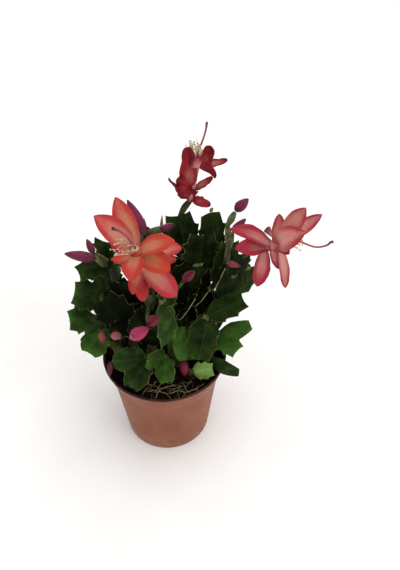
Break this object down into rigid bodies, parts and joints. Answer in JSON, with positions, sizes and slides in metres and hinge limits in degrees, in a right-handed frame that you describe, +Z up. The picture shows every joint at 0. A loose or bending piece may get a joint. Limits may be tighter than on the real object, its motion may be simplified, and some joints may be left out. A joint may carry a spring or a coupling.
{
  "type": "potted christmas cactus",
  "caption": "Round terracotta-coloured nursery pot of soil with a spreading plant of flat jointed leafy stems, open layered blooms and slender buds.",
  "frame": {"origin": "middle of the pot's base, on the surface that it stands on", "axes": "+Z up along the pot's axis, -Y towards the side with the open bloom in front, +X towards the side with the outstretched bloom"},
  "size_m": [0.2018, 0.1508, 0.2802],
  "materials": {
    "pot": "smooth satin moulded plastic, terracotta brown",
    "soil": "dark crumbly peat",
    "root": "dry pale fibre",
    "leaf": "waxy succulent leaf, dark green with paler edges",
    "petal_coral": "silky petal, pale pink middle and orange coral edge",
    "petal_rose": "silky petal, dusty pink with darker coral edge",
    "petal_withered": "wilting petal, deep red",
    "stamen": "cream threads with pollen heads",
    "style": "glossy crimson thread",
    "bud": "smooth waxy bud, crimson to purple pink"
  },
  "bodies": {
    "root": {"bloom_left_petals": "petal_coral", "bloom_left_stamens": "stamen", "bloom_left_style": "style", "bloom_right_petals": "petal_rose", "bloom_right_stamens": "stamen", "bloom_right_style": "style", "bloom_top_petals": "petal_withered", "bloom_top_stamens": "stamen", "bloom_top_style": "style", "bud_back": "bud", "bud_behind_bloom": "bud", "bud_crimson": "bud", "bud_dull": "bud", "bud_left_long": "bud", "bud_left_small": "bud", "bud_middle": "bud", "bud_pink_lower": "bud", "bud_pink_upper": "bud", "bud_right_low": "bud", "bud_right_side": "bud", "bud_right_tall": "bud", "bud_rosy": "bud", "bud_soil": "bud", "bud_thin": "bud", "bud_tiny": "bud", "bud_upper": "bud", "pot": "pot", "soil": "soil", "stem_back_1": "leaf", "stem_back_2": "leaf", "stem_back_3": "leaf", "stem_back_4": "leaf", "stem_back_5": "leaf", "stem_bloom_left": "leaf", "stem_bloom_right": "leaf", "stem_bloom_top": "leaf", "stem_centre_big": "leaf", "stem_centre_dark": "leaf", "stem_centre_edge": "leaf", "stem_centre_long": "leaf", "stem_centre_low": "leaf", "stem_dark_left": "leaf", "stem_dark_mid": "leaf", "stem_front": "leaf", "stem_front_hang": "leaf", "stem_front_left": "leaf", "stem_front_right_low": "leaf", "stem_left_high": "leaf", "stem_left_low": "leaf", "stem_left_mid": "leaf", "stem_left_out": "leaf", "stem_right": "leaf", "stem_right_arch": "leaf", "stem_right_low": "leaf", "stem_right_mid": "leaf", "stem_top_left": "leaf", "stem_top_mid": "leaf", "stem_top_right": "leaf", "surface_roots": "root"}
  },
  "joints": []
}
